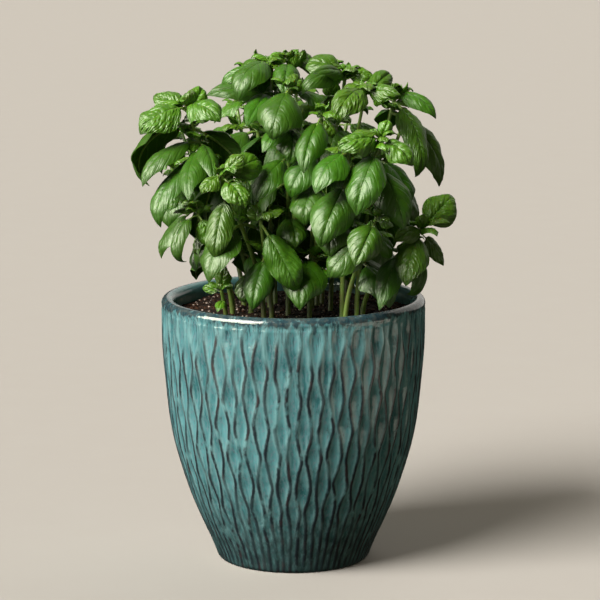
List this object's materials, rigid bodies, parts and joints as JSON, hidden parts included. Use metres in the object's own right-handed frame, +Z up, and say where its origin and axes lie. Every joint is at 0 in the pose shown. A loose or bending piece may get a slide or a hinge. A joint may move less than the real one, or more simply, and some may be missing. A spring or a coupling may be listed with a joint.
{
  "type": "potted basil",
  "caption": "Bushy sweet basil with leafy stems growing from soil in a tapered round planter, whose glazed wall is carved in staggered vertical scoops.",
  "frame": {"origin": "middle of the pot's foot, on the surface the pot stands on, and under the middle of the whole plant's box", "axes": "+Z up along the pot's axis, -Y towards the side the picture shows, +X to the right in it"},
  "size_m": [0.2425, 0.2136, 0.389],
  "materials": {
    "glazed_pot": "glossy turquoise reactive glaze over dark stoneware, broken to dark brown on the ridges and pooled dark teal near the foot",
    "potting_soil": "matt moist dark brown potting mix with bark crumbs and white perlite grains",
    "basil": "fresh green basil, semi-gloss leaves puffed between their veins, paler stems"
  },
  "bodies": {
    "root": {"glazed_pot": "glazed_pot", "potting_soil": "potting_soil", "basil_left_crown": "basil", "basil_left_mid": "basil", "basil_left_low": "basil", "basil_upper_left": "basil", "basil_top_centre": "basil", "basil_centre_front": "basil", "basil_centre_right": "basil", "basil_top_right": "basil", "basil_right_top": "basil", "basil_right": "basil", "basil_front_right": "basil", "basil_front_centre": "basil", "basil_right_low": "basil", "basil_front_low": "basil", "basil_centre_low": "basil", "basil_sprig": "basil", "basil_back_left": "basil", "basil_back_mid_left": "basil", "basil_back_centre": "basil", "basil_back_mid_right": "basil", "basil_back_right": "basil", "basil_back_top_left": "basil", "basil_back_top_right": "basil", "basil_far_left": "basil"}
  },
  "joints": []
}
